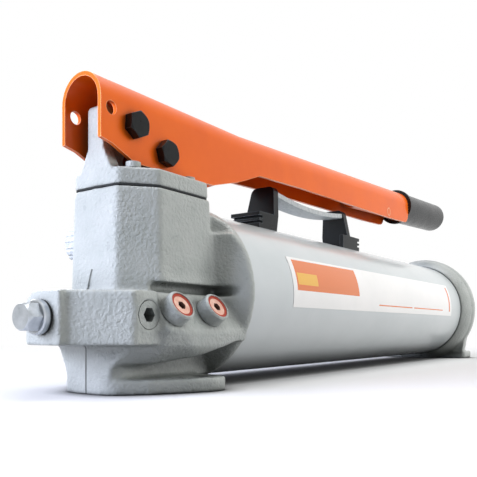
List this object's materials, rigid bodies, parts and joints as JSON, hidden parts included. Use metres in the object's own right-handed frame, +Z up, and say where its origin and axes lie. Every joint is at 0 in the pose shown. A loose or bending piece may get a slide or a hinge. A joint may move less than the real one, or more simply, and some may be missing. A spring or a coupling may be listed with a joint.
{
  "type": "hydraulic hand pump",
  "caption": "Lever-operated hydraulic hand pump with a cast head, a horizontal tubular reservoir, a carrying handle and a folded-sheet lever.",
  "frame": {"origin": "on the floor, under the plunger's axis", "axes": "+X back along the reservoir towards the grip, +Z up, ports on the -Y side"},
  "size_m": [0.5964, 0.1214, 0.1887],
  "materials": {
    "cast_paint": "grey enamel over rough cast iron",
    "tube_paint": "smooth light grey enamel",
    "orange_powder_coat": "satin powder coat",
    "black_oxide_steel": "black oxide",
    "zinc_plated_steel": "bright zinc plate",
    "ground_steel": "ground",
    "spring_steel": "drawn wire",
    "bronze": "turned",
    "copper": "turned copper colour",
    "red_fibre": "pressed fibre",
    "black_rubber": "textured",
    "seal_rubber": "smooth",
    "gasket_fibre": "pressed fibre",
    "black_nylon": "moulded",
    "grey_nylon": "moulded",
    "label_film": "printed colour blocks"
  },
  "bodies": {
    "pump": {"head_casting": "cast_paint", "cover_gasket": "gasket_fibre", "head_cover": "cast_paint", "cover_screws": "cast_paint", "plunger_gland": "bronze", "rod_seal": "seal_rubber", "rod_wiper": "seal_rubber", "high_pressure_seal": "seal_rubber", "reservoir_tube": "tube_paint", "front_tube_seal": "seal_rubber", "rear_tube_seal": "seal_rubber", "rear_end_cap": "cast_paint", "tie_rod": "zinc_plated_steel", "tie_rod_washer": "zinc_plated_steel", "tie_rod_nut": "zinc_plated_steel", "outlet_check_retainer": "ground_steel", "outlet_check_spring": "spring_steel", "inlet_valve_seat": "ground_steel", "inlet_check_spring": "spring_steel", "suction_tube": "ground_steel", "suction_strainer": "bronze", "outlet_plug": "zinc_plated_steel", "outlet_plug_washer": "seal_rubber", "gauge_port_plug": "cast_paint", "relief_valve_cap": "cast_paint", "relief_seal_ring": "red_fibre", "relief_adjuster": "copper", "relief_spring": "spring_steel", "unloader_valve_cap": "cast_paint", "unloader_seal_ring": "red_fibre", "unloader_adjuster": "copper", "unloader_spring": "spring_steel", "release_gland": "zinc_plated_steel", "carry_bracket_front": "black_nylon", "carry_bracket_rear": "black_nylon", "carry_strap": "grey_nylon", "carry_screws": "zinc_plated_steel", "side_label": "label_film"},
    "handle": {"handle_beam": "orange_powder_coat", "handle_tube": "orange_powder_coat", "handle_grip": "black_rubber", "fulcrum_bolt": "black_oxide_steel", "fulcrum_nut": "black_oxide_steel", "fulcrum_spacers": "ground_steel", "plunger_pin_bolt": "black_oxide_steel", "plunger_pin_nut": "black_oxide_steel", "plunger_pin_spacers": "ground_steel"},
    "plunger": {"plunger": "ground_steel", "piston_seal": "seal_rubber"},
    "release_valve": {"release_knob": "grey_nylon", "release_stem": "zinc_plated_steel", "release_ball": "ground_steel"},
    "filler": {"filler_cap": "black_nylon", "filler_seal": "seal_rubber"},
    "outlet_check": {"outlet_check_ball": "ground_steel"},
    "inlet_check": {"inlet_check_ball": "ground_steel"},
    "relief": {"relief_ball": "ground_steel"},
    "unloader": {"unloader_ball": "ground_steel"}
  },
  "joints": [
    {"name": "handle_lift", "type": "hinge", "parent": "pump", "child": "handle", "pos_m": [-0.0264, 0, 0.1424], "axis": [0, -1, 0], "range_deg": [0, 33]},
    {"name": "plunger_stroke", "type": "slide", "parent": "pump", "child": "plunger", "axis": [0, 0, 1], "range_m": [0, 0.01474]},
    {"name": "release_turn", "type": "hinge", "parent": "pump", "child": "release_valve", "pos_m": [-0.005, 0.034, 0.086], "axis": [0, 1, 0], "range_deg": [0, 360]},
    {"name": "filler_turn", "type": "hinge", "parent": "pump", "child": "filler", "pos_m": [0.48, 0, 0.086], "axis": [1, 0, 0], "range_deg": [0, 360]},
    {"name": "outlet_check_lift", "type": "slide", "parent": "pump", "child": "outlet_check", "axis": [-1, 0, 0], "range_m": [0, 0.0012], "stiffness_N_per_m": 300, "springref_m": -0.001, "deforming": ["outlet_check_spring"]},
    {"name": "inlet_check_lift", "type": "slide", "parent": "pump", "child": "inlet_check", "axis": [-1, 0, 0], "range_m": [0, 0.0012], "stiffness_N_per_m": 300, "springref_m": -0.001, "deforming": ["inlet_check_spring"]},
    {"name": "relief_lift", "type": "slide", "parent": "pump", "child": "relief", "axis": [0, -0.848, 0.5299], "range_m": [0, 0.001], "stiffness_N_per_m": 300, "springref_m": -0.001, "deforming": ["relief_spring"]},
    {"name": "unloader_lift", "type": "slide", "parent": "pump", "child": "unloader", "axis": [0, -0.848, 0.5299], "range_m": [0, 0.001], "stiffness_N_per_m": 300, "springref_m": -0.001, "deforming": ["unloader_spring"]}
  ],
  "couplings": [
    {"joint": "plunger_stroke", "follows": "handle_lift", "m_per_rad": 0.025251}
  ]
}
